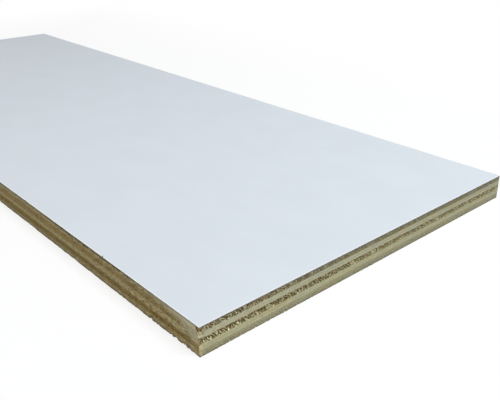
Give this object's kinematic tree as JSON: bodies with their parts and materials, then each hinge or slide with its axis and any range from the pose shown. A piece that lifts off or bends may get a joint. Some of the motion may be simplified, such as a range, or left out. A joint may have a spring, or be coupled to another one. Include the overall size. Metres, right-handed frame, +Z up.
{
  "type": "plywood sheet",
  "caption": "Flat rectangular plywood board of crossed veneers with a white laminate face and square sawn edges, stock for shelves, panels and boxes.",
  "frame": {"origin": "middle of the underside, on the floor that the sheet lies on", "axes": "+X along the sheet's length and the grain of its face, +Y across its width, +Z up, out of the white face"},
  "size_m": [0.8, 0.3, 0.019],
  "materials": {
    "white_laminate": "satin white laminate",
    "long_grain_veneer": "bare rotary-cut veneer, grain along the sheet, sawn edges",
    "cross_grain_veneer": "bare rotary-cut veneer, grain across the sheet, sawn edges"
  },
  "bodies": {
    "root": {"white_laminate": "white_laminate", "face_ply": "long_grain_veneer", "upper_cross_ply": "cross_grain_veneer", "centre_ply": "long_grain_veneer", "lower_cross_ply": "cross_grain_veneer", "back_ply": "long_grain_veneer"}
  },
  "joints": []
}
